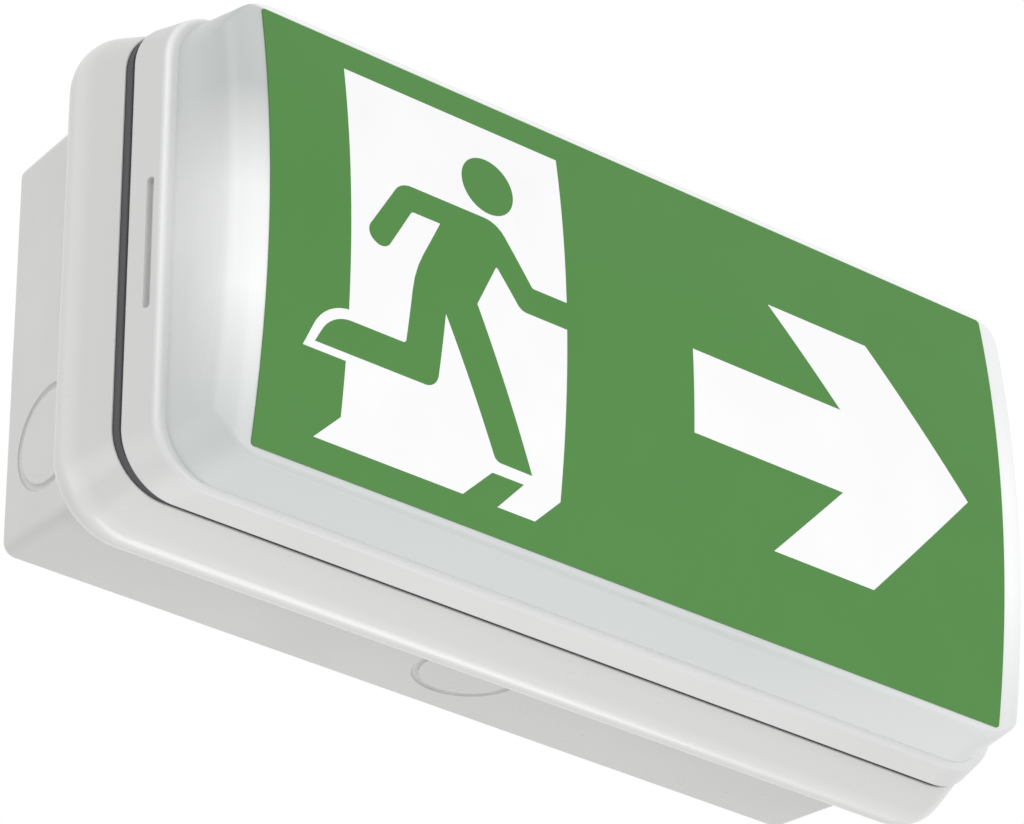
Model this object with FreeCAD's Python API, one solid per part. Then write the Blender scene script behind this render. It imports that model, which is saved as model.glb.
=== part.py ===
import FreeCAD, Part
import math
import os

# A sealed, self-contained emergency exit light for a wall, in millimetres and degrees.
# The origin is the centre of the wall face. +X is right as seen from the front, +Z is up, and
# the light faces -Y. A "depth" is a distance in front of the wall, so Y is minus the depth.

# Legend film on the bowed front: the size of the sign sets the size of the light
film_width = 200.0
film_height = 100.0
film_thickness = 0.25
film_corner = 0.8

# Housing: drafted rear box, set back from the rim
box_end_setback = 15.8
box_side_setback = 15.4
box_corner = 3.0
box_draft = 3.0
box_depth = 32.3
box_wall = 2.2
back_thickness = 2.6
back_edge_round = 1.2

# Housing: flange and rim
rim_corner = 19.0
rim_length = 18.5
rim_end_taper = 6.2
rim_side_taper = 7.4
rim_wall = 3.2
rim_edge_round = 6.5
rim_front_round = 0.2
flange_thickness = 2.2

# Joint between the rim and the cover, closed by the gasket
joint_gap = 2.0
groove_depth = 1.0
gasket_width = 1.4
gasket_inset = 0.45
gasket_side_clearance = 0.1
gasket_top_clearance = 0.1

# Cover: skirt, then a ledge, then the lens with its bowed front
skirt_end_setback = 0.6
skirt_side_overhang = 0.85
skirt_corner = 13.0
skirt_length = 8.7
skirt_end_taper = 2.7
skirt_side_taper = 0.5
skirt_edge_round = 1.3
skirt_lip_round = 0.5
shoulder_thickness = 2.2
ledge_end_width = 2.0
ledge_side_width = 1.15
lens_end_margin = 10.2
lens_side_margin = 2.9
lens_corner = 12.0
lens_end_draft = 8.1
lens_side_draft = 3.5
cover_wall = 2.0
front_depth = 80.0
front_radius = 286.0
front_shoulder = 5.5
front_shoulder_sweep = 74.0
front_edge_round = 1.2

# Cover: locating legs and release slots at both ends
leg_clearance = 0.35
leg_thickness = 1.6
leg_width = 14.0
leg_reach = 7.0
leg_offset = 26.0
leg_tip_bevel = 0.8
leg_tip_bevel_length = 1.6
slot_length = 30.0
slot_width = 1.7
slot_depth = 1.2
slot_height = -1.6
slot_offset = 5.2

# Cable entries: ring grooves that mark the knock-outs, and wall fixing holes
knockout_radius = 10.25
knockout_groove = 1.6
knockout_groove_depth = 0.75
end_entry_depth = 16.6
end_entry_height = -25.4
side_entry_depth = 18.9
rear_entry_inset = 17.7
rear_entry_height = 2.0
fixing_inset_x = 19.7
fixing_inset_z = 15.5
fixing_hole_radius = 2.5
fixing_pad_radius = 5.5
fixing_pad_height = 1.0

# Screws: one self-tapping size throughout
screw_radius = 1.45
screw_head_radius = 2.75
screw_head_height = 1.9
screw_head_round = 0.6
screw_recess_span = 3.2
screw_recess_width = 0.8
screw_recess_depth = 0.9
screw_hole_clearance = 0.3
screw_pilot_clearance = 0.05
tray_screw_grip = 7.0
post_screw_grip = 4.6
boss_radius = 3.6

# Gear tray: white reflector plate with flared walls, seated on the flange
tray_thickness = 1.2
tray_wall_height = 8.0
tray_flare = 2.2
tray_corner = 8.0
tray_end_clearance = 0.9
tray_side_clearance = 1.2
tray_screw_inset_x = 7.3
tray_screw_inset_z = 6.3

# LED boards on the tray
led_board_end_margin = 17.0
led_board_height = 12.0
led_board_thickness = 1.6
led_board_gap = 8.0
led_board_offset_z = 24.0
led_count = 8
led_pitch = 18.0
led_size = 5.0
led_thickness = 1.5
led_lens_radius = 1.9
led_lens_height = 0.5
led_screw_left_inset = 4.5
led_screw_right_inset = 11.2
led_screw_grip = 4.0
led_connector_length = 7.0
led_connector_height = 8.0
led_connector_thickness = 4.4
led_connector_inset = 0.4

# Control board on posts of the housing
board_length = 100.0
board_height = 32.0
board_thickness = 1.6
board_gap = 6.6
board_drop = 36.5
board_post_height = 5.0
board_post_inset = 4.0
board_post_right_inset = 14.0
transformer_length = 24.0
transformer_height = 20.0
transformer_core = 15.0
transformer_winding_radius = 9.0
transformer_winding_depth = 13.0
transformer_winding_inset = 2.0
transformer_inset = 22.0
capacitor_radius = 5.0
capacitor_length = 18.0
capacitor_bevel = 0.6
capacitor_count = 2
capacitor_pitch = 12.5
capacitor_inset = 50.0
connector_length = 8.0
connector_thickness = 7.0
connector_inset = 0.3
connector_lead_height = 3.3
mains_connector_height = 9.0
mains_connector_drop = 11.2
led_output_height = 10.0
led_output_drop = 0.9
battery_connector_height = 7.0
battery_connector_rise = 8.6

# Battery pack and its saddle clips
cell_radius = 11.0
cell_length = 42.0
cell_count = 3
battery_x = 0.0
battery_inset = 24.0
battery_end_round = 1.2
clip_clearance = 0.2
clip_thickness = 1.0
clip_width = 12.0
clip_spacing = 84.0
clip_foot_length = 7.4
clip_pad_height = 4.0

# Terminal block on its platform
pole_count = 4
pole_pitch = 8.0
terminal_inset = 24.3
terminal_drop = 3.0
terminal_height = 16.0
terminal_thickness = 14.0
terminal_lug_length = 6.4
terminal_lug_thickness = 5.0
terminal_platform = 1.4
terminal_well_radius = 2.4
terminal_well_depth = 4.0
terminal_well_offset = 4.6
terminal_screw_radius = 2.0
terminal_screw_length = 2.6
terminal_slot_width = 0.7
terminal_slot_depth = 0.8
terminal_entry_radius = 1.7
terminal_entry_depth = 3.0
terminal_entry_height = 5.4
terminal_fixing_grip = 3.0

# Test switch and charge indicator on the tray
switch_inset = 13.7
switch_z = 0.0
switch_body_radius = 5.0
switch_body_length = 14.0
bushing_radius = 3.5
bushing_length = 4.0
bushing_clearance = 0.1
nut_flats = 10.0
nut_thickness = 2.0
button_radius = 2.0
button_clearance = 0.25
button_travel = 1.5
button_cap_radius = 3.0
button_cap_height = 2.0
button_cap_gap = 1.9
button_cap_round = 0.5
button_stem_length = 9.0
button_bore_margin = 1.0
indicator_z = 15.0
indicator_radius = 2.5
indicator_clearance = 0.1
indicator_length = 6.0
bezel_radius = 4.0
bezel_thickness = 1.0
bezel_sleeve = 0.7

# Internal leads
lead_radius = 0.7
lead_bend = 4.0
lead_bend_share = 0.45
lead_slot_gap = 8.0
lead_slot_length = 13.0
lead_slot_width = 7.0
led_lead_pitch = 2.2
led_lead_spread = 2.4
battery_lead_pitch = 3.0
mains_lead_pitch = 5.0
battery_lead_reach = 12.0
battery_lead_step = 5.0
led_lead_run = 8.0
led_lead_rise = 18.0
led_lead_climb_gap = 9.0
led_lead_turn_gap = 5.0
mains_lead_run = 5.0
mains_lead_low = 7.0
mains_lead_step = 6.0

# Modelling allowances
least_corner = 0.5
overshoot = 1.0
near = 1e-6

# Widths and heights that follow from the sizes above, from the lens back to the box
lens_width = film_width + 2 * lens_end_margin
lens_height = film_height + 2 * lens_side_margin
skirt_width = lens_width + 2 * (ledge_end_width + skirt_end_taper)
skirt_height = lens_height + 2 * (ledge_side_width + skirt_side_taper)
rim_width = skirt_width + 2 * (skirt_end_setback + rim_end_taper)
rim_height = skirt_height + 2 * (rim_side_taper - skirt_side_overhang)
box_width = rim_width - 2 * box_end_setback
box_height = rim_height - 2 * box_side_setback

# Places of the gear, measured from the inside of the box
inside_x = box_width / 2 - box_wall
inside_z = box_height / 2 - box_wall
fixing_spacing_x = 2 * (inside_x - fixing_inset_x)
fixing_spacing_z = 2 * (inside_z - fixing_inset_z)
rear_entry_x = rear_entry_inset - inside_x
switch_x = inside_x - switch_inset
lead_slot_x = switch_x - lead_slot_gap
led_board_length = (led_count - 1) * led_pitch + 2 * led_board_end_margin
led_board_x = lead_slot_x - led_board_gap - led_board_length / 2
terminal_length = pole_count * pole_pitch + 2 * terminal_lug_length
terminal_x = inside_x - terminal_inset - terminal_length / 2
board_x = terminal_x - terminal_length / 2 - board_gap - board_length / 2
battery_z = inside_z - battery_inset
board_z = battery_z - board_drop
terminal_z = board_z - terminal_drop

# Depths that follow from the sizes above
rim_front_depth = box_depth + rim_length
flange_front_depth = box_depth + flange_thickness
skirt_depth = rim_front_depth + joint_gap
ledge_depth = skirt_depth + skirt_length
tray_front_depth = flange_front_depth + tray_thickness
led_board_front_depth = tray_front_depth + led_board_thickness
board_rear_depth = back_thickness + board_post_height
board_front_depth = board_rear_depth + board_thickness
forward = FreeCAD.Vector(0, -1, 0)


def tangent(angle):
    return math.tan(math.radians(angle))


def at(x, depth, z):
    """Point at a place in front of the wall."""
    return FreeCAD.Vector(x, -depth, z)


class Outline:
    """Rounded rectangle parallel to the wall and centred on the light."""

    def __init__(self, width, height, corner, depth):
        self.width = width
        self.height = height
        self.corner = max(corner, least_corner)
        self.depth = depth

    def wire(self):
        half_x = self.width / 2
        half_z = self.height / 2
        round_in = self.corner * (1 - math.sqrt(0.5))
        edges = []
        for sign_x, sign_z in ((1, 1), (-1, 1), (-1, -1), (1, -1)):
            beside = at(sign_x * half_x, self.depth, sign_z * (half_z - self.corner))
            above = at(sign_x * (half_x - self.corner), self.depth, sign_z * half_z)
            middle = at(sign_x * (half_x - round_in), self.depth, sign_z * (half_z - round_in))
            first, last = (beside, above) if sign_x * sign_z > 0 else (above, beside)
            if edges:
                edges.append(Part.LineSegment(edges[-1].lastVertex().Point, first).toShape())
            edges.append(Part.Arc(first, middle, last).toShape())
        closing = Part.LineSegment(edges[-1].lastVertex().Point, edges[0].firstVertex().Point)
        return Part.Wire(edges + [closing.toShape()])


def block(rear, front):
    """Solid with straight walls from one outline to another."""
    return Part.makeLoft([rear.wire(), front.wire()], True, True)


def prism(outline, length):
    """Solid of one outline, drawn forward."""
    return Part.Face(outline.wire()).extrude(forward * length)


def rod(x, z, depth, length, radius):
    """Round bar that points forward."""
    return Part.makeCylinder(radius, length, at(x, depth, z), forward)


def slab(x, z, depth, width, height, thickness):
    """Box centred on a place, from a depth forward."""
    return Part.makeBox(width, thickness, height, at(x - width / 2, depth + thickness, z - height / 2))


def edges_at(shape, depth):
    """Edges that lie wholly at a depth."""
    return [edge for edge in shape.Edges
            if all(abs(vertex.Y + depth) < near for vertex in edge.Vertexes)
            and abs(edge.CenterOfMass.y + depth) < near]


def joined(shapes):
    """One solid from pieces that overlap."""
    return shapes[0].fuse(shapes[1:]).removeSplitter()


def signs():
    """The four quarters of a pattern that is mirrored both ways."""
    return [(-1, -1), (1, -1), (-1, 1), (1, 1)]


def screw(x, z, seat_depth, grip):
    """Cross-recess pan-head screw: the head lies in front of its seat and the shank behind it."""
    head = rod(x, z, seat_depth, screw_head_height, screw_head_radius)
    head = head.makeFillet(screw_head_round, edges_at(head, seat_depth + screw_head_height))
    shank = rod(x, z, seat_depth - grip, grip + overshoot, screw_radius)
    recess_depth = seat_depth + screw_head_height - screw_recess_depth
    sides = (screw_recess_span, screw_recess_width)
    cross = [slab(x, z, recess_depth, width, height, screw_recess_depth + overshoot)
             for width, height in (sides, sides[::-1])]
    return joined([head, shank]).cut(cross)


def screw_passage(x, z, depth, length):
    """Clear hole for a screw's shank."""
    return rod(x, z, depth - overshoot, length + 2 * overshoot, screw_radius + screw_hole_clearance)


def boss(x, z, height):
    """Screw boss on the inside of the back wall."""
    return rod(x, z, back_thickness - overshoot, height + overshoot, boss_radius)


def pilot(x, z, seat_depth, grip):
    """Hole in a boss that takes the end of a screw."""
    radius = screw_radius + screw_pilot_clearance
    return rod(x, z, seat_depth - grip - overshoot / 2, grip + overshoot, radius)


# Outlines of the mouldings at any depth, moved inward by an inset

def box_outline(depth, inset=0.0):
    spread = depth * tangent(box_draft) - inset
    return Outline(box_width + 2 * spread, box_height + 2 * spread, box_corner - inset, depth)


def rim_outline(depth, inset=0.0):
    share = (depth - box_depth) / rim_length
    width = rim_width - 2 * (rim_end_taper * share + inset)
    height = rim_height - 2 * (rim_side_taper * share + inset)
    return Outline(width, height, rim_corner - rim_end_taper * share - inset, depth)


def skirt_outline(depth, inset=0.0):
    share = (depth - skirt_depth) / skirt_length
    width = skirt_width - 2 * (skirt_end_taper * share + inset)
    height = skirt_height - 2 * (skirt_side_taper * share + inset)
    return Outline(width, height, skirt_corner - inset, depth)


def lens_outline(depth, inset=0.0):
    run = depth - ledge_depth
    width = lens_width - 2 * (run * tangent(lens_end_draft) + inset)
    height = lens_height - 2 * (run * tangent(lens_side_draft) + inset)
    return Outline(width, height, lens_corner - inset, depth)


# Places that several pieces share

def tray_screw_places():
    x = inside_x - tray_screw_inset_x
    z = inside_z - tray_screw_inset_z
    return [(sign_x * x, sign_z * z) for sign_x, sign_z in signs()]


def fixing_places():
    return [(sign_x * fixing_spacing_x / 2, sign_z * fixing_spacing_z / 2) for sign_x, sign_z in signs()]


def board_post_places():
    left = board_x - board_length / 2 + board_post_inset
    right = board_x + board_length / 2 - board_post_right_inset
    z = board_height / 2 - board_post_inset
    return [(x, board_z + sign_z * z) for x in (left, right) for sign_z in (-1, 1)]


def clip_places():
    return [battery_x - clip_spacing / 2, battery_x + clip_spacing / 2]


def clip_foot_middle():
    """Distance of a clip's screw from the pack's axis."""
    return cell_radius + clip_clearance + clip_thickness + clip_foot_length / 2


def clip_screw_places():
    return [(x, battery_z + side * clip_foot_middle()) for x in clip_places() for side in (-1, 1)]


def terminal_fixing_places():
    reach = pole_count * pole_pitch / 2 + terminal_lug_length / 2
    return [(terminal_x - reach, terminal_z), (terminal_x + reach, terminal_z)]


def pole_places():
    return [terminal_x + (index - (pole_count - 1) / 2) * pole_pitch for index in range(pole_count)]


def led_screw_places(side):
    left = led_board_x - led_board_length / 2 + led_screw_left_inset
    right = led_board_x + led_board_length / 2 - led_screw_right_inset
    return [(left, side * led_board_offset_z), (right, side * led_board_offset_z)]


def leg_outer():
    """Distance of a locating leg's outer face from the middle of the light."""
    return rim_outline(rim_front_depth, rim_wall).width / 2 - leg_clearance


def connector_face():
    """Right-hand face of the control board's connectors, where the leads leave."""
    return board_x + board_length / 2 - connector_inset


# Housing

def ring_groove(place, normal):
    """Ring with a round section, sunk into a wall to mark a knock-out."""
    half = knockout_groove / 2
    section = (half ** 2 + knockout_groove_depth ** 2) / (2 * knockout_groove_depth)
    centre = place + normal * (section - knockout_groove_depth)
    return Part.makeTorus(knockout_radius + half, section, centre, normal)


def knockouts():
    lean = math.radians(box_draft)
    end_x = box_outline(end_entry_depth).width / 2
    side_z = box_outline(side_entry_depth).height / 2
    grooves = [ring_groove(at(rear_entry_x, 0, rear_entry_height), FreeCAD.Vector(0, 1, 0))]
    for sign in (-1, 1):
        end_normal = FreeCAD.Vector(sign * math.cos(lean), math.sin(lean), 0)
        side_normal = FreeCAD.Vector(0, math.sin(lean), sign * math.cos(lean))
        grooves.append(ring_groove(at(sign * end_x, end_entry_depth, end_entry_height), end_normal))
        grooves.append(ring_groove(at(0, side_entry_depth, sign * side_z), side_normal))
    return grooves


def housing_shell():
    box = block(box_outline(0), box_outline(flange_front_depth))
    box = box.makeFillet(back_edge_round, edges_at(box, 0))
    rim = block(rim_outline(box_depth), rim_outline(rim_front_depth))
    rim = rim.makeFillet(rim_edge_round, edges_at(rim, box_depth))
    rim = rim.makeFillet(rim_front_round, edges_at(rim, rim_front_depth))
    box_hollow = block(box_outline(back_thickness, box_wall),
                       box_outline(flange_front_depth + overshoot, box_wall))
    rim_hollow = block(rim_outline(flange_front_depth, rim_wall),
                       rim_outline(rim_front_depth + overshoot, rim_wall))
    inner_round = rim_edge_round - flange_thickness
    rim_hollow = rim_hollow.makeFillet(inner_round, edges_at(rim_hollow, flange_front_depth))
    groove_floor = rim_front_depth - groove_depth
    rim_front = rim_outline(rim_front_depth)
    groove = gasket_ring(rim_front, groove_floor, groove_depth + overshoot, gasket_side_clearance)
    return joined([box, rim]).cut([box_hollow, rim_hollow, groove])


def base_housing():
    tray_boss_height = flange_front_depth - back_thickness
    root = back_thickness - overshoot
    posts = [boss(x, z, tray_boss_height) for x, z in tray_screw_places()]
    posts += [boss(x, z, board_post_height) for x, z in board_post_places()]
    posts += [boss(x, z, clip_pad_height) for x, z in clip_screw_places()]
    for x, z in fixing_places():
        posts.append(rod(x, z, root, fixing_pad_height + overshoot, fixing_pad_radius))
    posts.append(slab(terminal_x, terminal_z, root, terminal_length, terminal_height,
                      terminal_platform + overshoot))
    holes = [pilot(x, z, flange_front_depth, tray_screw_grip) for x, z in tray_screw_places()]
    holes += [pilot(x, z, board_rear_depth, post_screw_grip) for x, z in board_post_places()]
    clip_seat = back_thickness + clip_pad_height
    holes += [pilot(x, z, clip_seat, post_screw_grip) for x, z in clip_screw_places()]
    terminal_seat = back_thickness + terminal_platform
    holes += [pilot(x, z, terminal_seat, terminal_fixing_grip) for x, z in terminal_fixing_places()]
    for x, z in fixing_places():
        length = back_thickness + fixing_pad_height + 2 * overshoot
        holes.append(rod(x, z, -overshoot, length, fixing_hole_radius))
    return joined([housing_shell()] + posts).cut(holes + knockouts())


# Gasket

def gasket_ring(rim_front, depth, height, side_clearance):
    """Rectangular-section ring that follows the front of the rim."""
    outer_inset = gasket_inset - side_clearance
    inner_inset = gasket_inset + gasket_width + side_clearance
    rings = []
    for inset in (outer_inset, inner_inset):
        width = rim_front.width - 2 * inset
        height_z = rim_front.height - 2 * inset
        rings.append(prism(Outline(width, height_z, rim_front.corner - inset, depth), height))
    return rings[0].cut(rings[1])


def seal_gasket():
    height = groove_depth + joint_gap - gasket_top_clearance
    return gasket_ring(rim_outline(rim_front_depth), rim_front_depth - groove_depth, height, 0)


# Cover

def front_barrel(inset):
    """Barrel whose skin is the bowed front, turned about a line parallel to X."""
    axis_depth = front_depth - front_radius
    bend_depth = front_depth - front_shoulder
    bend_x = lens_outline(bend_depth).width / 2 - front_shoulder / math.cos(math.radians(lens_end_draft))
    radius = front_shoulder - inset
    sweep = math.radians(front_shoulder_sweep)
    end_x = bend_x + radius * math.sin(sweep)
    end_depth = bend_depth + radius * math.cos(sweep)
    reach_x = lens_width / 2 + front_shoulder
    reach_depth = end_depth - (reach_x - end_x) * math.tan(sweep)
    middle_x = bend_x + radius * math.sin(sweep / 2)
    middle_depth = bend_depth + radius * math.cos(sweep / 2)

    def side(sign):
        arc = Part.Arc(at(sign * bend_x, bend_depth + radius, 0), at(sign * middle_x, middle_depth, 0),
                       at(sign * end_x, end_depth, 0))
        slope = Part.LineSegment(at(sign * end_x, end_depth, 0), at(sign * reach_x, reach_depth, 0))
        drop = Part.LineSegment(at(sign * reach_x, reach_depth, 0), at(sign * reach_x, axis_depth, 0))
        return [arc.toShape(), slope.toShape(), drop.toShape()]

    crown = Part.LineSegment(at(-bend_x, bend_depth + radius, 0), at(bend_x, bend_depth + radius, 0))
    axis = Part.LineSegment(at(-reach_x, axis_depth, 0), at(reach_x, axis_depth, 0))
    edges = Part.sortEdges([crown.toShape(), axis.toShape()] + side(-1) + side(1))[0]
    centre = at(0, axis_depth, 0)
    along = FreeCAD.Vector(1, 0, 0)
    barrel = Part.Face(Part.Wire(edges)).revolve(centre, along, 360)
    barrel.rotate(centre, along, 180)
    return barrel


def lens_body(rear_depth, inset):
    tapered = block(lens_outline(rear_depth, inset), lens_outline(front_depth + overshoot, inset))
    return tapered.common(front_barrel(inset))


def front_edges(body):
    """Edges round the bowed front of the lens."""
    limit = lens_outline(front_depth - front_shoulder)
    found = []
    for edge in body.Edges:
        middle = edge.valueAt((edge.FirstParameter + edge.LastParameter) / 2)
        on_side = abs(middle.z) > limit.height / 2 - lens_corner
        on_end = abs(middle.x) > limit.width / 2 - front_shoulder / 2
        ahead = all(-vertex.Y > ledge_depth + front_shoulder / 2 for vertex in edge.Vertexes)
        if ahead and (on_side or on_end):
            found.append(edge)
    return found


def locating_leg(sign, z):
    """Leg that slides inside the rim, with a bevelled tip."""
    outer = leg_outer()
    inner = outer - leg_thickness
    tip = rim_front_depth - leg_reach
    root = skirt_depth + shoulder_thickness
    low = z - leg_width / 2
    corners = [(inner, root), (outer, root), (outer, tip + leg_tip_bevel_length),
               (outer - leg_tip_bevel, tip), (inner, tip)]
    points = [at(sign * x, depth, low) for x, depth in corners]
    face = Part.Face(Part.makePolygon(points + points[:1]))
    return face.extrude(FreeCAD.Vector(0, 0, leg_width))


def release_slot(sign):
    """Blind slot in the end of the skirt, rounded at both ends."""
    depth = skirt_depth + slot_offset
    wall_x = skirt_outline(depth).width / 2
    start_x = wall_x - slot_depth
    length = slot_depth + skirt_end_taper + overshoot
    outward = FreeCAD.Vector(sign, 0, 0)
    half = (slot_length - slot_width) / 2
    pieces = []
    for z in (slot_height - half, slot_height + half):
        pieces.append(Part.makeCylinder(slot_width / 2, length, at(sign * start_x, depth, z), outward))
    corner_x = min(sign * start_x, sign * (start_x + length))
    corner = at(corner_x, depth + slot_width / 2, slot_height - half)
    pieces.append(Part.makeBox(length, slot_width, 2 * half, corner))
    return joined(pieces)


def diffuser_cover():
    skirt = block(skirt_outline(skirt_depth), skirt_outline(ledge_depth))
    skirt = skirt.makeFillet(skirt_edge_round, edges_at(skirt, ledge_depth))
    skirt = skirt.makeFillet(skirt_lip_round, edges_at(skirt, skirt_depth))
    lens = lens_body(ledge_depth - cover_wall, 0)
    lens = lens.makeFillet(front_edge_round, front_edges(lens))
    skirt_hollow = block(skirt_outline(skirt_depth + shoulder_thickness, cover_wall),
                         skirt_outline(ledge_depth - cover_wall, cover_wall))
    lens_hollow = lens_body(ledge_depth - cover_wall - overshoot, cover_wall)
    mouth_width = 2 * (leg_outer() - leg_thickness)
    mouth_height = lens_height - 2 * cover_wall
    mouth = Outline(mouth_width, mouth_height, lens_corner - cover_wall, skirt_depth - overshoot)
    mouth_cut = prism(mouth, shoulder_thickness + 2 * overshoot)
    legs = [locating_leg(sign, side * leg_offset) for sign in (-1, 1) for side in (-1, 1)]
    shell = joined([skirt, lens]).cut([skirt_hollow, lens_hollow, mouth_cut])
    return joined([shell] + legs).cut([release_slot(-1), release_slot(1)])


def legend_film():
    """Thin sheet bent over the bowed front."""
    axis_depth = front_depth - front_radius
    along = FreeCAD.Vector(1, 0, 0)
    start = at(-film_width, axis_depth, 0)
    outside = Part.makeCylinder(front_radius + film_thickness, 2 * film_width, start, along)
    inside = Part.makeCylinder(front_radius, 2 * film_width, start, along)
    sheet = Outline(film_width, film_height, film_corner, ledge_depth)
    return prism(sheet, front_depth).common(outside.cut(inside))


# Tray and light source

def tray_outline(depth, inset=0.0):
    """Outline of the tray's flared outside at a depth."""
    rim_mouth = rim_outline(rim_front_depth, rim_wall)
    flare = tray_flare * (1 - (depth - flange_front_depth) / (tray_thickness + tray_wall_height))
    width = 2 * (leg_outer() - leg_thickness - tray_end_clearance - flare - inset)
    height = rim_mouth.height - 2 * (tray_side_clearance + flare + inset)
    return Outline(width, height, tray_corner - inset, depth)


def lead_slot(side):
    """Slot in the tray beside an LED board, wide enough for its leads and their plug."""
    rear = flange_front_depth - overshoot
    length = tray_thickness + 2 * overshoot
    z = side * led_board_offset_z
    reach = lead_slot_length - lead_slot_width
    ends = [rod(x, z, rear, length, lead_slot_width / 2) for x in (lead_slot_x, lead_slot_x + reach)]
    middle = slab(lead_slot_x + reach / 2, z, rear, reach, lead_slot_width, length)
    return joined([middle] + ends)


def gear_tray():
    top = tray_front_depth + tray_wall_height
    outside = block(tray_outline(flange_front_depth), tray_outline(top))
    inside = block(tray_outline(tray_front_depth, tray_thickness),
                   tray_outline(top + overshoot, tray_thickness))
    places = tray_screw_places() + led_screw_places(-1) + led_screw_places(1)
    holes = [screw_passage(x, z, flange_front_depth, tray_thickness) for x, z in places]
    rear = flange_front_depth - overshoot
    length = tray_thickness + 2 * overshoot
    holes.append(rod(switch_x, switch_z, rear, length, bushing_radius + bushing_clearance))
    bezel_hole = indicator_radius + indicator_clearance + bezel_sleeve + bushing_clearance
    holes.append(rod(switch_x, indicator_z, rear, length, bezel_hole))
    return outside.cut(inside).cut(holes + [lead_slot(-1), lead_slot(1)])


def tray_screws():
    grip = tray_screw_grip + tray_thickness
    return [screw(x, z, tray_front_depth, grip) for x, z in tray_screw_places()]


def led_board(side):
    z = side * led_board_offset_z
    board = slab(led_board_x, z, tray_front_depth, led_board_length, led_board_height,
                 led_board_thickness)
    holes = [screw_passage(x, place_z, tray_front_depth, led_board_thickness)
             for x, place_z in led_screw_places(side)]
    return board.cut(holes)


def leds(side):
    """Square packages with a round window, one pitch apart."""
    z = side * led_board_offset_z
    group = []
    for index in range(led_count):
        x = led_board_x + (index - (led_count - 1) / 2) * led_pitch
        package = slab(x, z, led_board_front_depth, led_size, led_size, led_thickness)
        window = rod(x, z, led_board_front_depth, led_thickness + led_lens_height, led_lens_radius)
        group.append(joined([package, window]))
    return group


def led_board_screws():
    places = led_screw_places(-1) + led_screw_places(1)
    return [screw(x, z, led_board_front_depth, led_screw_grip) for x, z in places]


def led_connectors():
    x = led_board_x + led_board_length / 2 - led_connector_inset - led_connector_length / 2
    return [slab(x, side * led_board_offset_z, led_board_front_depth, led_connector_length,
                 led_connector_height, led_connector_thickness) for side in (-1, 1)]


# Control gear

def control_board():
    board = slab(board_x, board_z, board_rear_depth, board_length, board_height, board_thickness)
    holes = [screw_passage(x, z, board_rear_depth, board_thickness) for x, z in board_post_places()]
    return board.cut(holes)


def board_screws():
    grip = post_screw_grip + board_thickness
    return [screw(x, z, board_front_depth, grip) for x, z in board_post_places()]


def transformer():
    """Laminated core with a round winding through its window."""
    x = board_x - board_length / 2 + transformer_inset
    core = slab(x, board_z, board_front_depth, transformer_length, transformer_height, transformer_core)
    length = transformer_length - 2 * transformer_winding_inset
    start = at(x - length / 2, board_front_depth + transformer_winding_depth, board_z)
    winding = Part.makeCylinder(transformer_winding_radius, length, start, FreeCAD.Vector(1, 0, 0))
    return joined([core, winding])


def capacitors():
    group = []
    for index in range(capacitor_count):
        x = board_x - board_length / 2 + capacitor_inset + index * capacitor_pitch
        can = rod(x, board_z, board_front_depth, capacitor_length, capacitor_radius)
        top = board_front_depth + capacitor_length
        group.append(can.makeFillet(capacitor_bevel, edges_at(can, top)))
    return group


def board_connector(z, height):
    x = connector_face() - connector_length / 2
    return slab(x, z, board_front_depth, connector_length, height, connector_thickness)


def mains_connector():
    return board_connector(board_z - mains_connector_drop, mains_connector_height)


def led_output_connector():
    return board_connector(board_z - led_output_drop, led_output_height)


def battery_connector():
    return board_connector(board_z + battery_connector_rise, battery_connector_height)


def battery_axis_depth():
    return back_thickness + cell_radius


def battery_end():
    return battery_x + cell_count * cell_length / 2


def battery_pack():
    """Cells in line inside one heat-shrunk sleeve."""
    length = cell_count * cell_length
    start = at(battery_x - length / 2, battery_axis_depth(), battery_z)
    pack = Part.makeCylinder(cell_radius, length, start, FreeCAD.Vector(1, 0, 0))
    ends = [edge for edge in pack.Edges if edge.isClosed()]
    return pack.makeFillet(battery_end_round, ends)


def battery_clips():
    """Saddles bent from strip, one foot each side of the pack."""
    seat = back_thickness + clip_pad_height
    middle = battery_axis_depth()
    inner = cell_radius + clip_clearance
    outer = inner + clip_thickness
    reach = outer + clip_foot_length
    group = []
    for x in clip_places():
        start = x - clip_width / 2
        along = FreeCAD.Vector(1, 0, 0)
        arch = Part.makeCylinder(outer, clip_width, at(start, middle, battery_z), along)
        arch = arch.fuse(slab(x, battery_z, seat, clip_width, 2 * outer, middle - seat))
        arch = arch.fuse(slab(x, battery_z, seat, clip_width, 2 * reach, clip_thickness))
        room = Part.makeCylinder(inner, clip_width, at(start, middle, battery_z), along)
        below = slab(x, battery_z, 0, clip_width, 2 * inner, middle)
        behind = slab(x, battery_z, -outer, clip_width, 2 * reach, seat + outer)
        holes = [screw_passage(x, battery_z + side * clip_foot_middle(), seat, clip_thickness)
                 for side in (-1, 1)]
        group.append(arch.cut([room, below, behind] + holes).removeSplitter())
    return group


def clip_screws():
    seat = back_thickness + clip_pad_height + clip_thickness
    return [screw(x, z, seat, post_screw_grip + clip_thickness) for x, z in clip_screw_places()]


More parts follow.
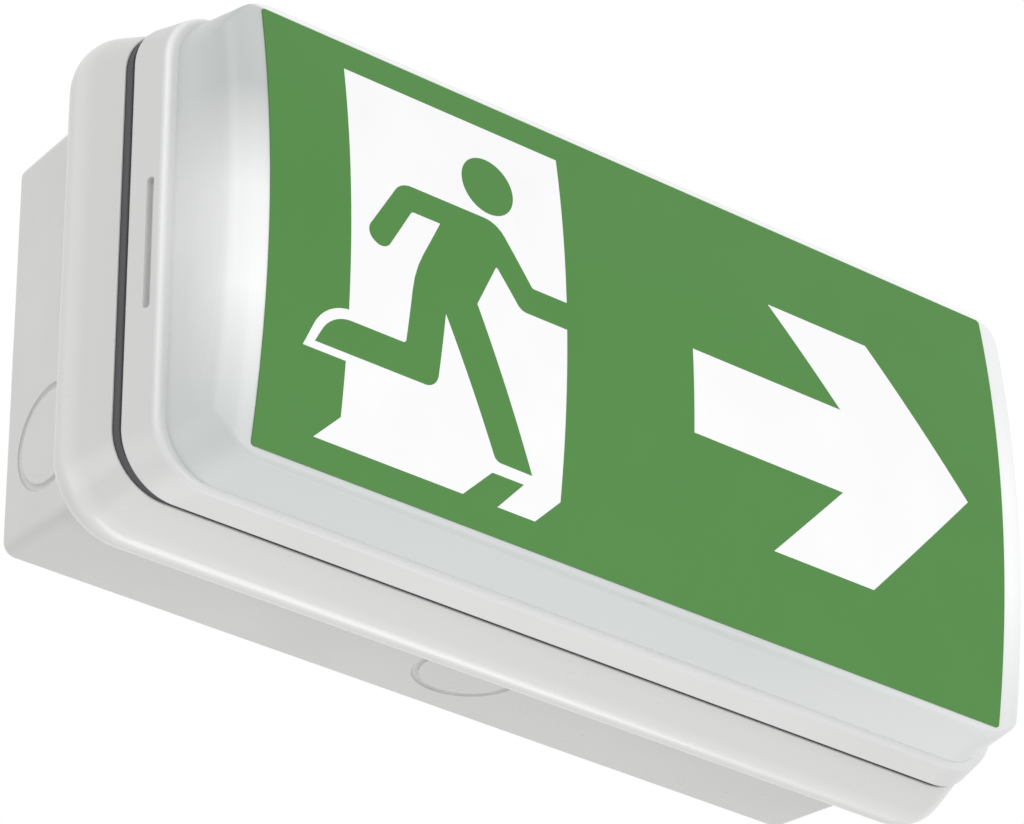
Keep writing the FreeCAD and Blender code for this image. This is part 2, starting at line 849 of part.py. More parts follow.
def terminal_block():
    """Insulating block with a screw well and a wire entry on both sides of each pole."""
    rear = back_thickness + terminal_platform
    body_length = pole_count * pole_pitch
    body = slab(terminal_x, terminal_z, rear, body_length, terminal_height, terminal_thickness)
    lugs = slab(terminal_x, terminal_z, rear, terminal_length, terminal_height, terminal_lug_thickness)
    top = rear + terminal_thickness
    cuts = [screw_passage(x, z, rear, terminal_lug_thickness) for x, z in terminal_fixing_places()]
    for x in pole_places():
        for side in (-1, 1):
            z = terminal_z + side * terminal_well_offset
            well_length = terminal_well_depth + overshoot
            cuts.append(rod(x, z, top - terminal_well_depth, well_length, terminal_well_radius))
            face = at(x, rear + terminal_entry_height, terminal_z + side * terminal_height / 2)
            outward = FreeCAD.Vector(0, 0, side)
            start = face - outward * terminal_entry_depth
            entry_length = terminal_entry_depth + overshoot
            cuts.append(Part.makeCylinder(terminal_entry_radius, entry_length, start, outward))
    return joined([body, lugs]).cut(cuts)


def terminal_screws():
    """Slotted clamp screws standing on the floors of the wells."""
    floor = back_thickness + terminal_platform + terminal_thickness - terminal_well_depth
    group = []
    for x in pole_places():
        for side in (-1, 1):
            z = terminal_z + side * terminal_well_offset
            body = rod(x, z, floor, terminal_screw_length, terminal_screw_radius)
            slot_floor = floor + terminal_screw_length - terminal_slot_depth
            slot = slab(x, z, slot_floor, 2 * terminal_well_radius, terminal_slot_width,
                        terminal_slot_depth + overshoot)
            group.append(body.cut(slot))
    return group


def terminal_fixings():
    seat = back_thickness + terminal_platform + terminal_lug_thickness
    grip = terminal_fixing_grip + terminal_lug_thickness
    return [screw(x, z, seat, grip) for x, z in terminal_fixing_places()]


# Test switch and charge indicator

def bushing_top():
    return tray_front_depth + bushing_length


def button_tail():
    """Depth of the button stem's rear end at rest."""
    return bushing_top() + button_cap_gap - button_stem_length


def test_switch():
    body_rear = flange_front_depth - switch_body_length
    body = rod(switch_x, switch_z, body_rear, switch_body_length, switch_body_radius)
    neck = rod(switch_x, switch_z, flange_front_depth - overshoot,
               overshoot + tray_thickness + bushing_length, bushing_radius)
    bore_floor = button_tail() - button_travel - button_bore_margin
    bore = rod(switch_x, switch_z, bore_floor, bushing_top() - bore_floor + overshoot,
               button_radius + button_clearance)
    return joined([body, neck]).cut(bore)


def test_switch_nut():
    across = nut_flats / math.sqrt(3)
    corners = []
    for index in range(6):
        angle = math.radians(60 * index)
        corners.append(at(switch_x + across * math.cos(angle), tray_front_depth,
                          switch_z + across * math.sin(angle)))
    plate = Part.Face(Part.makePolygon(corners + corners[:1])).extrude(forward * nut_thickness)
    bore = rod(switch_x, switch_z, tray_front_depth - overshoot, nut_thickness + 2 * overshoot,
               bushing_radius + bushing_clearance)
    return plate.cut(bore)


def test_button():
    cap_rear = bushing_top() + button_cap_gap
    stem_length = button_stem_length + button_cap_height / 2
    stem = rod(switch_x, switch_z, button_tail(), stem_length, button_radius)
    cap = rod(switch_x, switch_z, cap_rear, button_cap_height, button_cap_radius)
    cap = cap.makeFillet(button_cap_round, edges_at(cap, cap_rear + button_cap_height))
    return joined([stem, cap])


def indicator_bezel():
    sleeve_radius = indicator_radius + indicator_clearance + bezel_sleeve
    rear = flange_front_depth - bezel_thickness
    sleeve_length = bezel_thickness + tray_thickness + bezel_thickness / 2
    sleeve = rod(switch_x, indicator_z, rear, sleeve_length, sleeve_radius)
    collar = rod(switch_x, indicator_z, tray_front_depth, bezel_thickness, bezel_radius)
    length = 2 * bezel_thickness + tray_thickness + 2 * overshoot
    bore = rod(switch_x, indicator_z, rear - overshoot, length, indicator_radius + indicator_clearance)
    return joined([sleeve, collar]).cut(bore)


def charge_indicator():
    """Round-nosed lamp held in the bezel."""
    nose_depth = tray_front_depth + bezel_thickness
    barrel = rod(switch_x, indicator_z, nose_depth - indicator_length, indicator_length, indicator_radius)
    nose = Part.makeSphere(indicator_radius, at(switch_x, nose_depth, indicator_z))
    return joined([barrel, nose])


# Leads: straight runs joined by tangent arcs

def lead(points):
    """Round wire along a route; each corner is an arc that its two runs leave room for."""
    edges = []
    last = points[0]
    for before, corner, after in zip(points, points[1:], points[2:]):
        arriving = (corner - before).normalize()
        leaving = (after - corner).normalize()
        half_turn = arriving.getAngle(leaving) / 2
        shorter = min((corner - before).Length, (after - corner).Length)
        bend = min(lead_bend, lead_bend_share * shorter / math.tan(half_turn))
        setback = bend * math.tan(half_turn)
        inward = (leaving - arriving).normalize()
        start = corner - arriving * setback
        end = corner + leaving * setback
        middle = corner + inward * (bend / math.cos(half_turn) - bend)
        edges.append(Part.LineSegment(last, start).toShape())
        edges.append(Part.Arc(start, middle, end).toShape())
        last = end
    edges.append(Part.LineSegment(last, points[-1]).toShape())
    path = Part.Wire(edges)
    section = Part.Wire(Part.Circle(points[0], points[1] - points[0], lead_radius).toShape())
    return path.makePipeShell([section], True, False)


def board_lead_depth():
    return board_front_depth + connector_lead_height


def battery_lead(order):
    """Lead from the end of the pack round to the battery connector, +1 outside and -1 inside."""
    start_z = battery_z + order * battery_lead_step
    turn_x = battery_end() + battery_lead_reach + order * battery_lead_step / 2
    end_z = board_z + battery_connector_rise - order * battery_lead_pitch / 2
    return lead([at(battery_end(), battery_axis_depth(), start_z),
                 at(turn_x, battery_axis_depth(), start_z),
                 at(turn_x, board_lead_depth(), end_z),
                 at(connector_face(), board_lead_depth(), end_z)])


def led_lead(side, order):
    """Lead from the LED output, over the gear, through the tray to one LED board."""
    start_z = board_z - led_output_drop + (side + order / 2) * led_lead_pitch
    end_z = side * led_board_offset_z + order * led_lead_spread / 2
    end_x = led_board_x + led_board_length / 2 - led_connector_inset
    end_depth = led_board_front_depth + led_connector_thickness / 2
    run_x = connector_face() + led_lead_run
    return lead([at(connector_face(), board_lead_depth(), start_z),
                 at(run_x, board_lead_depth(), start_z),
                 at(connector_face() + led_lead_rise, flange_front_depth - led_lead_climb_gap, start_z),
                 at(lead_slot_x, flange_front_depth - led_lead_turn_gap, end_z),
                 at(lead_slot_x, end_depth, end_z),
                 at(end_x, end_depth, end_z)])


def mains_lead(order):
    """Lead from a pole of the terminal block to the mains connector."""
    start_z = board_z - mains_connector_drop - order * mains_lead_pitch / 2
    pole_x = pole_places()[(1 + order) // 2]
    block_foot = terminal_z - terminal_height / 2
    entry_depth = back_thickness + terminal_platform + terminal_entry_height
    low_z = block_foot - mains_lead_low - (1 + order) / 2 * mains_lead_step
    run_x = connector_face() + mains_lead_run
    return lead([at(connector_face(), board_lead_depth(), start_z),
                 at(run_x, board_lead_depth(), start_z),
                 at(run_x + mains_lead_run, entry_depth, low_z),
                 at(pole_x, entry_depth, low_z),
                 at(pole_x, entry_depth, block_foot + terminal_entry_depth)])


def nodes():
    """Every piece by name; a list is a group of separate solids."""
    return {
        "base_housing": base_housing(),
        "seal_gasket": seal_gasket(),
        "diffuser_cover": diffuser_cover(),
        "legend_film": legend_film(),
        "gear_tray": gear_tray(),
        "tray_screws": tray_screws(),
        "led_board_lower": led_board(-1),
        "led_board_upper": led_board(1),
        "leds_lower": leds(-1),
        "leds_upper": leds(1),
        "led_board_screws": led_board_screws(),
        "led_connectors": led_connectors(),
        "control_board": control_board(),
        "board_screws": board_screws(),
        "transformer": transformer(),
        "capacitors": capacitors(),
        "mains_connector": mains_connector(),
        "led_output_connector": led_output_connector(),
        "battery_connector": battery_connector(),
        "battery_pack": battery_pack(),
        "battery_clips": battery_clips(),
        "clip_screws": clip_screws(),
        "terminal_block": terminal_block(),
        "terminal_screws": terminal_screws(),
        "terminal_fixings": terminal_fixings(),
        "test_switch": test_switch(),
        "test_switch_nut": test_switch_nut(),
        "test_button": test_button(),
        "indicator_bezel": indicator_bezel(),
        "charge_indicator": charge_indicator(),
        "battery_lead_positive": battery_lead(1),
        "battery_lead_negative": battery_lead(-1),
        "led_leads_positive": [led_lead(-1, 1), led_lead(1, 1)],
        "led_leads_negative": [led_lead(-1, -1), led_lead(1, -1)],
        "mains_lead_live": mains_lead(-1),
        "mains_lead_neutral": mains_lead(1),
    }


def main():
    os.makedirs("parts", exist_ok=True)
    for name, shape in nodes().items():
        if isinstance(shape, list):
            shape = Part.makeCompound(shape)
        if not shape.isValid() or not shape.Solids:
            raise ValueError(name + " is not a valid solid")
        shape.exportStep("parts/" + name + ".step")
        print(name, len(shape.Solids), round(shape.Volume, 1))


main()
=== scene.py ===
import math

import bmesh
import bpy
from mathutils import Matrix, Vector
from mathutils.geometry import delaunay_2d_cdt

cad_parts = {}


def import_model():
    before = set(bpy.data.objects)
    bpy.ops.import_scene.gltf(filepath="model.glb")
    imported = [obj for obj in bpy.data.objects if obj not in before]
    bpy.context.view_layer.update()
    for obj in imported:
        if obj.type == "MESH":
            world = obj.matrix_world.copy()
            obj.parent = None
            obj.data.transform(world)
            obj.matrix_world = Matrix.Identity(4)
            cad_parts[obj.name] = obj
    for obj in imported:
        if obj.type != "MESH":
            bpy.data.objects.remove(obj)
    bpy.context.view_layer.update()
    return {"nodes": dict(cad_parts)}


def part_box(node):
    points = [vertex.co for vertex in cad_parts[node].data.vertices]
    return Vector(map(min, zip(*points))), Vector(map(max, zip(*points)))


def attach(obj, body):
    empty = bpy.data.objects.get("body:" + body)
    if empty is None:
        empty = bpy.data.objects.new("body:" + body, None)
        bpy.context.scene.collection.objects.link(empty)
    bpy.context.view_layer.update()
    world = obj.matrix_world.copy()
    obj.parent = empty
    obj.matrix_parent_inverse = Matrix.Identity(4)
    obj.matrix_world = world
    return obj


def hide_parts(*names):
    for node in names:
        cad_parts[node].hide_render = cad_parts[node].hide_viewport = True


# A wall-mounted emergency exit light: looks for every piece, the printed legend, lights and camera.
# Metres, in the frame of the solids: +X right, +Z up, and the light faces -Y.

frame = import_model()
nodes = frame["nodes"]
mm = 0.001

# Camera: what it aims at and from where, and the focal length in pixels of the picture
camera_azimuth = math.radians(-39.71)
camera_elevation = math.radians(-28.79)
camera_roll = math.radians(-0.12)
camera_distance = 1.12243
camera_aim = Vector((-0.00507, -0.040, 0.00548))
picture_width = 1024
focal_pixels = 5299.1
sensor_width = 36.0

# Depths from the wall: rear box, front of the rim, and the ledge round the lens
box_depth = 0.0323
rim_depth = 0.0508
ledge_depth = 0.0615

# Looks of plastic: width of the patches in colour and gloss, and the part of a noise's range used
patch_size = 0.03
gloss_patch_size = 0.005
noise_low = 0.3
noise_high = 0.7

# Housing: heights where the box's side ends and its underside of painted shade starts, and half the
# seam at the rim
box_side_end = -0.043
box_under_start = -0.0455
rim_seam = 0.0004

# Cover: half the lens's height, the strip above the film that is painted pale as a painted highlight,
# where the lens turns into its front, where painted light brightens it to the right, and how far
# behind the ledge's depth the tones change
lens_half_height = 0.05
strip_start = 0.0499
strip_full = 0.0506
lens_side_end = -0.066
lens_front_full = -0.0785
painted_bright_start = 0.03
painted_bright_full = 0.13
skirt_end = 0.0016
ledge_start = 0.0006
ledge_end = 0.0002
lens_start = -0.0004

# Lamps: their pitch along each board, how far behind its front a window ends and the package starts,
# and the gaps between the board's copper fields
lamp_pitch = 0.018
window_end = 0.0004
package_start = 0.00045
copper_gap = 0.0003
copper_gap_softness = 0.3

# Light level and stage
world_strength = 0.76
floor_height = -1.6
floor_size = 40.0

# Legend: millimetres on the film, seen from the front, with the film's middle at the origin
film_radius = 286.25
film_thickness = 0.2
film_corner = 0.8
facet_height = 2.5
arc_step = math.radians(9)
join_distance = 1e-5
field_overlap = 1
door_left = -79.85
door_right = -23.8
door_top = 43.1
door_foot = -37.8
floor_front = -43.8
shadow_left = -48.4
shadow_right = -39.5
shadow_top = -37.1
foot_edge_top = -14.5
foot_edge_bottom = -25.8
hand_overrun = 3
head_centre = (-43.8, 28.1)
head_radius = 6.8
head_facets = 48
arrow_middle = -0.85
arrow_tail = 10.75
arrow_notch = 52.6
arrow_barb_rear = 33.6
arrow_barb_front = 61.9
arrow_tip = 89.5
arrow_half_shaft = 9.95
arrow_half_height = 29.5


def material(name, color, roughness, **inputs):
    """New node material with constant values set on the shader's own sockets."""
    made = bpy.data.materials.new(name)
    made.use_nodes = True
    shader = shader_of(made)
    shader.inputs["Base Color"].default_value = (*color, 1)
    shader.inputs["Roughness"].default_value = roughness
    for key, value in inputs.items():
        entry = key.replace("_", " ").title().replace("Ior", "IOR")
        shader.inputs[entry].default_value = value
    made.diffuse_color = (*color, 1)
    return made


def shader_of(made):
    return made.node_tree.nodes["Principled BSDF"]


def add(made, kind, **inputs):
    """New node with some of its inputs set."""
    node = made.node_tree.nodes.new(kind)
    for key, value in inputs.items():
        node.inputs[key.replace("_", " ").title()].default_value = value
    return node


def connect(made, output, entry):
    made.node_tree.links.new(output, entry)


def link(made, source, output, target, entry):
    """Connect two nodes by the names or numbers of their sockets."""
    connect(made, source.outputs[output], target.inputs[entry])


def noise(made, size, detail=3.0):
    """Noise in the frame's own coordinates; size is the width of its features in metres."""
    place = add(made, "ShaderNodeTexCoord")
    texture = add(made, "ShaderNodeTexNoise", scale=1 / size, detail=detail)
    link(made, place, "Object", texture, "Vector")
    return texture


def along(made, axis, start, end):
    """Value from 0 to 1 between two places on an axis of the frame."""
    place = add(made, "ShaderNodeTexCoord")
    split = add(made, "ShaderNodeSeparateXYZ")
    span = add(made, "ShaderNodeMapRange", from_min=start, from_max=end)
    link(made, place, "Object", split, "Vector")
    link(made, split, axis, span, "Value")
    return span


def ramp(made, texture, *stops):
    """Colours at positions along a texture's value."""
    node = add(made, "ShaderNodeValToRGB")
    steps = node.color_ramp.elements
    while len(steps) < len(stops):
        steps.new(1.0)
    for step, (position, color) in zip(steps, stops):
        step.position = position
        step.color = (*color, 1)
    link(made, texture, 0, node, "Fac")
    return node


def mottled(made, size, first, second):
    """Patches of a given width that vary between two colours."""
    return ramp(made, noise(made, size), (noise_low, first), (noise_high, second))


def patchy(made, size, color, low, high):
    """Patches of a given width that vary between two shares of a colour."""
    return mottled(made, size, shade(color, low), shade(color, high))


def blend(made, share, first, second):
    """Mix of two colour nodes by the value of a third."""
    node = add(made, "ShaderNodeMix")
    node.data_type = "RGBA"
    # The node has entries for every data type; these are its factor and its two colours
    factor, first_color, second_color = (node.inputs[number] for number in (0, 6, 7))
    connect(made, share.outputs[0], factor)
    connect(made, color_of(first), first_color)
    connect(made, color_of(second), second_color)
    return node


def color_of(node):
    """Colour output of a ramp, mix or texture node."""
    return next(output for output in node.outputs if output.enabled and output.type == "RGBA")


def color_by(made, node):
    connect(made, color_of(node), shader_of(made).inputs["Base Color"])


def roughness_by(made, texture, low, high):
    span = add(made, "ShaderNodeMapRange", to_min=low, to_max=high)
    link(made, texture, 0, span, "Value")
    link(made, span, "Result", shader_of(made), "Roughness")


def bump(made, texture, height):
    """Relief of a given height in metres."""
    relief = add(made, "ShaderNodeBump", distance=height)
    link(made, texture, 0, relief, "Height")
    link(made, relief, "Normal", shader_of(made), "Normal")


def shade(color, share):
    return tuple(channel * share for channel in color)


def moulded(name, color, roughness, grain=0.0004, **inputs):
    """Moulded plastic: slight unevenness in colour and gloss, and a fine grain."""
    made = material(name, color, roughness, **inputs)
    color_by(made, patchy(made, patch_size, color, low=0.97, high=1.03))
    gloss = noise(made, gloss_patch_size)
    roughness_by(made, gloss, low=roughness * 0.93, high=roughness * 1.07)
    bump(made, noise(made, grain, detail=2.0), height=0.0000025)
    return made


def plated(name, color, roughness):
    """Plated metal with uneven gloss and fine scratches."""
    made = material(name, color, roughness, metallic=1.0)
    color_by(made, patchy(made, 0.002, color, low=0.85, high=1.0))
    roughness_by(made, noise(made, 0.0007), low=roughness - 0.1, high=roughness + 0.1)
    bump(made, noise(made, 0.0003), height=0.000005)
    return made


def housing_plastic():
    """Pale grey plastic, with a painted highlight along the rear edge of the rim and painted shade on
    the underside of the rear box.
    """
    grey = (0.61, 0.61, 0.598)
    made = material("housing_plastic", grey, roughness=0.27, specular_ior_level=0.75)
    side = patchy(made, patch_size, grey, low=0.97, high=1.03)
    # Painted shade: the rear box's underside is painted darker than its sides.
    painted_underside_shade = patchy(made, patch_size, grey, low=0.89, high=0.93)
    box = blend(made, along(made, "Z", box_side_end, box_under_start), side, painted_underside_shade)
    # Painted highlight: a pale band along the rim's rear edge; the rim is a shade darker at its
    # front.
    rim = ramp(made, along(made, "Y", -box_depth, -rim_depth), (0.28, grey), (0.4, shade(grey, 1.13)),
               (0.62, grey), (1.0, shade(grey, 0.99)))
    seam = along(made, "Y", -box_depth + rim_seam, -box_depth - rim_seam)
    color_by(made, blend(made, seam, box, rim))
    roughness_by(made, noise(made, gloss_patch_size), low=0.26, high=0.3)
    bump(made, noise(made, 0.004), height=0.000006)
    return made


def frosted_plastic():
    """Grey skirt and a cooler lens, with painted light: a painted highlight on the ledge, the lens
    painted palest about mid-height on its ends and front with painted shade towards its top, and
    painted brightening to the right and along the strip above the film.
    """
    skirt = (0.63, 0.63, 0.625)
    # Painted highlight: the ledge is painted paler than the skirt.
    ledge = (0.72, 0.725, 0.722)
    lens = (0.56, 0.59, 0.58)
    # Painted light: the pale colour that stands for light on the lens's ends and front.
    painted_glow = (0.84, 0.85, 0.845)
    made = material("frosted_plastic", lens, roughness=0.34)
    height = along(made, "Z", -lens_half_height, lens_half_height)
    # Ends of the lens: painted light about mid-height, plain lens colour above and below.
    rear = ramp(made, height, (0.07, lens), (0.48, shade(painted_glow, 0.83)), (0.6, shade(painted_glow, 0.81)),
                (0.8, lens))
    # Front of the lens: painted light a little below mid-height, painted shade towards the top.
    fore_painted_light = ramp(made, height, (0.03, shade(lens, 0.97)), (0.33, painted_glow), (0.55, shade(painted_glow, 0.95)),
                (0.8, shade(lens, 0.83)))
    # Painted light: paler than the lens, used for the strip above the film and for the right of the
    # lens.
    painted_bright = ramp(made, height, (0.0, shade(painted_glow, 0.84)), (0.33, painted_glow), (0.8, shade(painted_glow, 1.06)))
    fore_painted_light = blend(made, along(made, "Z", strip_start, strip_full), fore_painted_light, painted_bright)
    front = blend(made, along(made, "Y", lens_side_end, lens_front_full), rear, fore_painted_light)
    # Painted light brightens the lens towards the right.
    front = blend(made, along(made, "X", painted_bright_start, painted_bright_full), front, painted_bright)
    body = patchy(made, patch_size, skirt, low=0.98, high=1.02)
    # Painted light on the ledge: darker at the bottom and paler towards the top.
    edge = ramp(made, height, (0.0, shade(ledge, 0.92)), (0.1, ledge), (0.5, shade(ledge, 1.12)))
    to_ledge = along(made, "Y", skirt_end - ledge_depth, ledge_start - ledge_depth)
    base = blend(made, to_ledge, body, edge)
    to_lens = along(made, "Y", ledge_end - ledge_depth, lens_start - ledge_depth)
    color_by(made, blend(made, to_lens, base, front))
    roughness_by(made, noise(made, 0.004), low=0.3, high=0.38)
    bump(made, noise(made, 0.0005, detail=2.0), height=0.000008)
    return made


def printed_film(name, color):
    """Print on the film, with little gloss."""
    made = material(name, color, roughness=0.5, specular_ior_level=0.2)
    color_by(made, patchy(made, 0.02, color, low=0.985, high=1.015))
    bump(made, noise(made, 0.0012), height=0.000003)
    return made


def led_package():
    """White package with a yellow window, which stands a little proud of it."""
    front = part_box("leds_upper")[0].y
    made = material("led_package", (0.8, 0.8, 0.78), roughness=0.3)
    window = mottled(made, 0.0008, (0.78, 0.56, 0.1), (0.85, 0.66, 0.18))
    body = mottled(made, 0.0008, (0.74, 0.74, 0.72), (0.8, 0.8, 0.78))
    seam = along(made, "Y", front + package_start, front + window_end)
    color_by(made, blend(made, seam, body, window))
    return made


def lamp_board():
    """White solder mask over copper fields, which show faintly by the gaps between them."""
    mask = (0.76, 0.77, 0.75)
    low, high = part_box("led_board_upper")
    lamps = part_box("leds_upper")
    first_gap = (lamps[0].x + lamps[1].x + lamp_pitch) / 2
    made = material("lamp_board", mask, roughness=0.32)
    place = add(made, "ShaderNodeTexCoord")
    turn = add(made, "ShaderNodeMapping", rotation=(math.pi / 2, 0, 0),
               location=(-first_gap, low.z, 0))
    fields = add(made, "ShaderNodeTexBrick", scale=1.0, mortar_size=copper_gap,
                 mortar_smooth=copper_gap_softness, brick_width=lamp_pitch,
                 row_height=high.z - low.z)
    fields.offset = 0.0
    fields.inputs["Color1"].default_value = (*mask, 1)
    fields.inputs["Color2"].default_value = (0.745, 0.755, 0.735, 1)
    fields.inputs["Mortar"].default_value = (0.6, 0.59, 0.54, 1)
    link(made, place, "Object", turn, "Vector")
    link(made, turn, "Vector", fields, "Vector")
    color_by(made, fields)
    roughness_by(made, noise(made, 0.003), low=0.26, high=0.38)
    bump(made, noise(made, 0.0008), height=0.00001)
    return made


def dress(look, *names):
    """Give CAD nodes one material."""
    for name in names:
        mesh = nodes[name].data
        mesh.materials.clear()
        mesh.materials.append(look)


def dress_nodes():
    """Looks by name, colour and roughness, with the nodes that have them."""
    dress(housing_plastic(), "base_housing")
    dress(moulded("soft_rubber", (0.075, 0.076, 0.08), 0.75), "seal_gasket")
    dress(frosted_plastic(), "diffuser_cover")
    dress(moulded("white_enamel", (0.78, 0.78, 0.77), 0.32, grain=0.0015), "gear_tray")
    dress(plated("zinc_screw", (0.62, 0.62, 0.63), 0.3), "tray_screws", "led_board_screws",
          "board_screws", "clip_screws", "terminal_fixings", "test_switch_nut")
    dress(plated("zinc_strip", (0.6, 0.6, 0.61), 0.38), "battery_clips")
    dress(lamp_board(), "led_board_lower", "led_board_upper")
    dress(led_package(), "leds_lower", "leds_upper")
    dress(moulded("ivory_nylon", (0.72, 0.7, 0.64), 0.4), "led_connectors", "mains_connector",
          "led_output_connector", "battery_connector", "terminal_block")
    dress(moulded("green_board", (0.03, 0.15, 0.05), 0.3), "control_board")
    dress(moulded("varnished_core", (0.1, 0.075, 0.05), 0.35), "transformer")
    dress(moulded("can_sleeve", (0.03, 0.03, 0.04), 0.3), "capacitors")
    dress(moulded("shrink_sleeve", (0.03, 0.1, 0.26), 0.25), "battery_pack")
    dress(plated("brass_screw", (0.72, 0.52, 0.25), 0.3), "terminal_screws")
    dress(moulded("black_plastic", (0.02, 0.02, 0.021), 0.4), "test_switch", "indicator_bezel")
    dress(moulded("red_plastic", (0.42, 0.015, 0.015), 0.28), "test_button")
    dress(moulded("green_lens", (0.05, 0.35, 0.08), 0.15, coat_weight=0.5), "charge_indicator")
    dress(moulded("red_wire", (0.42, 0.02, 0.02), 0.4),
          "battery_lead_positive", "led_leads_positive")
    dress(moulded("black_wire", (0.02, 0.02, 0.021), 0.4),
          "battery_lead_negative", "led_leads_negative")
    dress(moulded("brown_wire", (0.15, 0.06, 0.025), 0.4), "mains_lead_live")
    dress(moulded("blue_wire", (0.02, 0.07, 0.33), 0.4), "mains_lead_neutral")


def rounded(corners):
    """Closed outline from corners (x, z, radius), with an arc at each rounded one."""
    points = []
    count = len(corners)
    for index, (x, z, radius) in enumerate(corners):
        corner = Vector((x, z))
        if not radius:
            points.append(corner)
            continue
        arriving = (corner - Vector(corners[index - 1][:2])).normalized()
        leaving = (Vector(corners[(index + 1) % count][:2]) - corner).normalized()
        turn = math.atan2(arriving.cross(leaving), arriving.dot(leaving))
        start = corner - arriving * radius * math.tan(abs(turn) / 2)
        centre = start + Vector((-arriving.y, arriving.x)) * math.copysign(radius, turn)
        steps = max(2, math.ceil(abs(turn) / arc_step))
        for step in range(steps + 1):
            points.append(centre + Matrix.Rotation(turn * step / steps, 2) @ (start - centre))
    return points


def door_outline():
    """The doorway, with the floor that slants forward from its foot."""
    slant = door_foot - floor_front
    return rounded([
        (door_left, door_top, 0), (door_right, door_top, 0), (door_right, door_foot, 0),
        (door_right - slant, floor_front, 0), (door_left - slant, floor_front, 0),
        (door_left, door_foot, 0)])


def shadow_outline():
    """The figure's shadow on the floor, open to the green below."""
    below = floor_front - field_overlap
    return rounded([
        (shadow_left, floor_front, 0), (-41.6, shadow_top, 0.8), (-33.4, shadow_top, 0),
        (shadow_right, floor_front, 0), (shadow_right, below, 0), (shadow_left, below, 0)])


def foot_outline():
    """White edge round the rear foot, where it leaves the doorway."""
    within = door_left + field_overlap
    return rounded([
        (within, foot_edge_top, 0), (-85.6, foot_edge_top, 10),
        (-90.5, foot_edge_bottom, 0), (within, foot_edge_bottom, 0)])


def figure_outline():
    """The running figure without its head; the leading arm runs out of the doorway."""
    hand = door_right + hand_overrun
    return rounded([
        # Top of the leading arm, and the shoulders
        (hand, 7.4, 0), (-32.9, 7.4, 0.8), (-41.9, 19.9, 6.5), (-67.0, 19.9, 5.0),
        # Rear arm
        (-76.4, 4.8, 2.7), (-71.3, 1.8, 2.7), (-64.3, 13.8, 1.0), (-57.0, 13.8, 0),
        # Back and rear leg
        (-63.7, 0.4, 26.0), (-65.4, -16.8, 0.8), (-84.0, -16.8, 8.0), (-87.7, -24.1, 0),
        (-57.0, -24.1, 3.3), (-55.55, -6.8, 0),
        # Front leg
        (-40.95, -34.5, 2.3), (-31.5, -34.6, 0), (-47.5, -1.5, 0.5),
        # Chest and underside of the leading arm
        (-42.4, 9.1, 0.3), (-36.0, 1.0, 3.0), (hand, 1.0, 0)])


def head_outline():
    x, z = head_centre
    return [Vector((x + head_radius * math.cos(math.tau * i / head_facets),
                    z + head_radius * math.sin(math.tau * i / head_facets)))
            for i in range(head_facets)]


def arrow_outline():
    upper = [(arrow_tail, arrow_half_shaft), (arrow_notch, arrow_half_shaft),
             (arrow_barb_rear, arrow_half_height), (arrow_barb_front, arrow_half_height)]
    lower = [(x, -z) for x, z in reversed(upper)]
    return [Vector((x, z + arrow_middle)) for x, z in upper + [(arrow_tip, 0)] + lower]


def inside(point, outline):
    """Whether a point lies within a closed outline."""
    found = False
    for first, second in zip(outline, outline[1:] + outline[:1]):
        if (first.y > point.y) != (second.y > point.y):
            reach = first.x + (point.y - first.y) / (second.y - first.y) * (second.x - first.x)
            found ^= point.x < reach
    return found


def legend():
    """Film with its print, cut into fields of green and white and bent over the front."""
    low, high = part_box("legend_film")
    half_width = (high.x - low.x) / 2 / mm
    half_height = (high.z - low.z) / 2 / mm
    axis_depth = -low.y / mm - film_radius
    sheet = rounded([(x * half_width, z * half_height, film_corner)
                     for x, z in ((-1, 1), (1, 1), (1, -1), (-1, -1))])
    white_fields = [door_outline(), foot_outline(), arrow_outline()]
    green_fields = [figure_outline(), head_outline(), shadow_outline()]
    points, edges = [], []
    for outline in [sheet] + white_fields + green_fields:
        start = len(points)
        count = len(outline)
        points += outline
        edges += [(start + i, start + (i + 1) % count) for i in range(count)]
    rows = math.ceil(2 * half_height / facet_height)
    for row in range(1, rows):
        z = -half_height + row * 2 * half_height / rows
        edges.append((len(points), len(points) + 1))
        points += [Vector((-half_width, z)), Vector((half_width, z))]
    only_inside = 1
    flat, _, faces, _, _, _ = delaunay_2d_cdt(points, edges, [], only_inside, join_distance)
    made = bmesh.new()
    corners = []
    for point in flat:
        depth = axis_depth + math.sqrt(film_radius ** 2 - point.y ** 2)
        corners.append(made.verts.new((point.x * mm, -depth * mm, point.y * mm)))
    for triangle in faces:
        middle = sum((flat[i] for i in triangle), Vector((0, 0))) / len(triangle)
        if not inside(middle, sheet):
            continue
        face = made.faces.new([corners[i] for i in triangle])
        face.normal_update()
        if face.normal.y > 0:
            face.normal_flip()
        white = any(inside(middle, outline) for outline in white_fields)
        green = any(inside(middle, outline) for outline in green_fields)
        face.material_index = int(white and not green)
        face.smooth = True
    loose = [vert for vert in made.verts if not vert.link_faces]
    bmesh.ops.delete(made, geom=loose, context="VERTS")
    for edge in made.edges:
        edge.smooth = not edge.is_boundary
    mesh = bpy.data.meshes.new("legend")
    made.to_mesh(mesh)
    made.free()
    mesh.materials.append(printed_film("legend_green", (0.072, 0.222, 0.05)))
    mesh.materials.append(printed_film("legend_white", (0.84, 0.84, 0.85)))
    piece = bpy.data.objects.new("legend", mesh)
    bpy.context.scene.collection.objects.link(piece)
    thicken = piece.modifiers.new("thickness", "SOLIDIFY")
    thicken.thickness = film_thickness * mm
    thicken.offset = -1
    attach(piece, "cover")
    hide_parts("legend_film")


def stage():
    """Pale floor, far below because the light hangs on a wall."""
    bpy.ops.mesh.primitive_plane_add(size=floor_size, location=(0, 0, floor_height))
    floor = bpy.context.object
    floor.name = "floor"
    floor.data.materials.append(material("floor", (0.9, 0.9, 0.9), roughness=0.8))


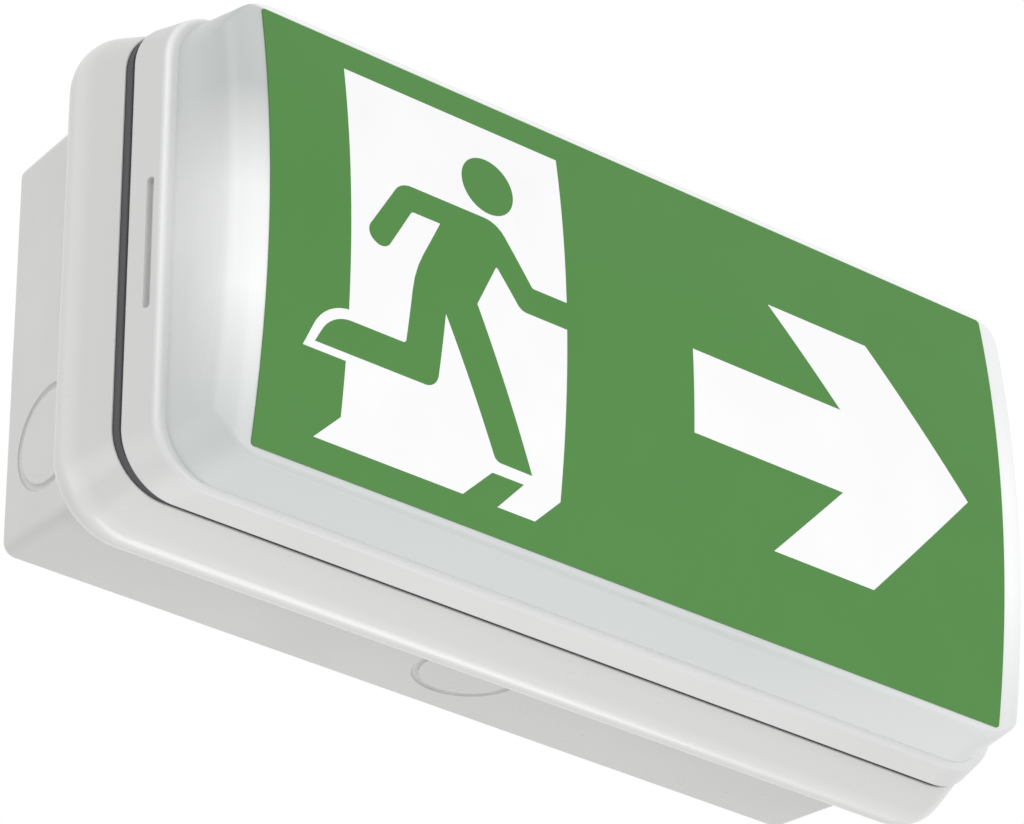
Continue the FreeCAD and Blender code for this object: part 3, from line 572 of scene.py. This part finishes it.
def world():
    """Even surroundings, fully white to the camera and in reflections and dimmer as light."""
    made = bpy.data.worlds.new("studio")
    bpy.context.scene.world = made
    made.use_nodes = True
    dim = made.node_tree.nodes["Background"]
    dim.inputs["Color"].default_value = (1, 1, 1, 1)
    dim.inputs["Strength"].default_value = world_strength
    white = add(made, "ShaderNodeBackground", color=(1, 1, 1, 1), strength=1.0)
    path = add(made, "ShaderNodeLightPath")
    seen = path.outputs["Is Camera Ray"]
    for output in ("Is Glossy Ray", "Is Transmission Ray"):
        either = add(made, "ShaderNodeMath")
        either.operation = "MAXIMUM"
        connect(made, seen, either.inputs[0])
        connect(made, path.outputs[output], either.inputs[1])
        seen = either.outputs[0]
    mix = add(made, "ShaderNodeMixShader")
    connect(made, seen, mix.inputs["Fac"])
    connect(made, dim.outputs[0], mix.inputs[1])
    connect(made, white.outputs[0], mix.inputs[2])
    link(made, mix, 0, made.node_tree.nodes["World Output"], "Surface")


def area_light(name, place, power, width, height, turn=0.0):
    """Lamp panel facing the object, turned in its own plane by degrees; the camera doesn't see it."""
    data = bpy.data.lights.new(name, "AREA")
    data.shape = "RECTANGLE"
    data.size = width
    data.size_y = height
    data.energy = power
    lamp = bpy.data.objects.new(name, data)
    lamp.location = place
    lamp.rotation_euler = (camera_aim - Vector(place)).to_track_quat("-Z", "Y").to_euler()
    lamp.rotation_euler.rotate_axis("Z", math.radians(turn))
    lamp.visible_camera = False
    bpy.context.scene.collection.objects.link(lamp)


def lights():
    area_light("key", (-0.85, -0.40, 0.52), power=1.5, width=0.55, height=0.55)
    area_light("side_fill", (-0.95, 0.20, -0.30), power=0.9, width=0.5, height=0.5)
    area_light("low_fill", (0.0, -0.85, -0.42), power=2.2, width=0.5, height=0.5)
    area_light("front_fill", (0.45, -1.10, 0.10), power=2.2, width=0.6, height=0.6)
    area_light("under_strip", (0.065, 0.19, -0.55), power=1.05, width=0.8, height=0.12, turn=-34)


def camera():
    """Camera at the photograph's angle: front, left and below."""
    level = math.cos(camera_elevation)
    back = Vector((math.sin(camera_azimuth) * level, -math.cos(camera_azimuth) * level,
                   math.sin(camera_elevation)))
    data = bpy.data.cameras.new("camera")
    data.sensor_width = sensor_width
    data.lens = focal_pixels * sensor_width / picture_width
    eye = bpy.data.objects.new("camera", data)
    turn = back.to_track_quat("Z", "Y").to_matrix() @ Matrix.Rotation(camera_roll, 3, "Z")
    eye.matrix_world = Matrix.Translation(camera_aim + back * camera_distance) @ turn.to_4x4()
    bpy.context.scene.collection.objects.link(eye)
    bpy.context.scene.camera = eye


bpy.context.scene.view_settings.view_transform = "Standard"
dress_nodes()
legend()
stage()
world()
lights()
camera()
